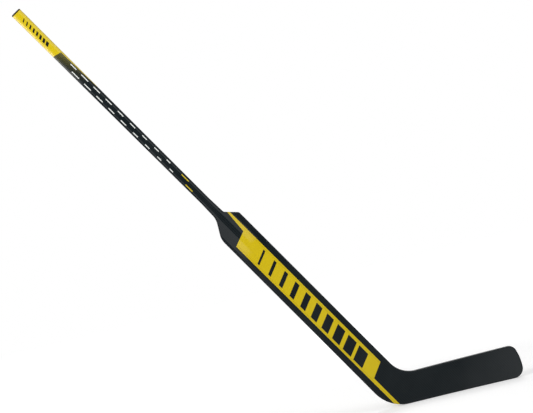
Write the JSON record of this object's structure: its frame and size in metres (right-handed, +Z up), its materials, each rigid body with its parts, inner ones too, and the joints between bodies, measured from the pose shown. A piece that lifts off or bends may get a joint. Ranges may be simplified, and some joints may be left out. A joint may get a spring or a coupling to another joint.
{
  "type": "hockey goalie stick",
  "caption": "Composite ice hockey goalie stick: a tapered faceted shaft with a capped butt, a wide shouldered paddle and a blade that curves forward at the toe.",
  "frame": {"origin": "on the ice under the blade, at the heel end of the flat of the sole, in the middle of the paddle's thickness", "axes": "+X along the sole from heel to toe, +Z up, front face towards -Y; the shaft leans back towards -X at the lie angle"},
  "size_m": [1.1347, 0.0326, 1.3131],
  "materials": {
    "shell": "painted and clear-coated carbon fibre composite, satin",
    "plug": "matt moulded rubber",
    "foam": "light structural foam",
    "dense_foam": "dense structural foam",
    "stiffener": "fibre composite, as cured"
  },
  "bodies": {
    "root": {"shaft_tube": "shell", "front_skin": "shell", "back_skin": "shell", "butt_plug": "plug", "tenon_plug": "foam", "paddle_spine": "stiffener", "paddle_heel_side_rail": "stiffener", "paddle_toe_side_rail": "stiffener", "blade_rib": "stiffener", "blade_sole_rail": "stiffener", "blade_top_rail": "stiffener", "paddle_heel_side_core": "foam", "paddle_toe_side_core": "foam", "blade_lower_core": "foam", "blade_upper_core": "foam", "heel_block": "dense_foam", "blade_toe_block": "dense_foam"}
  },
  "joints": []
}
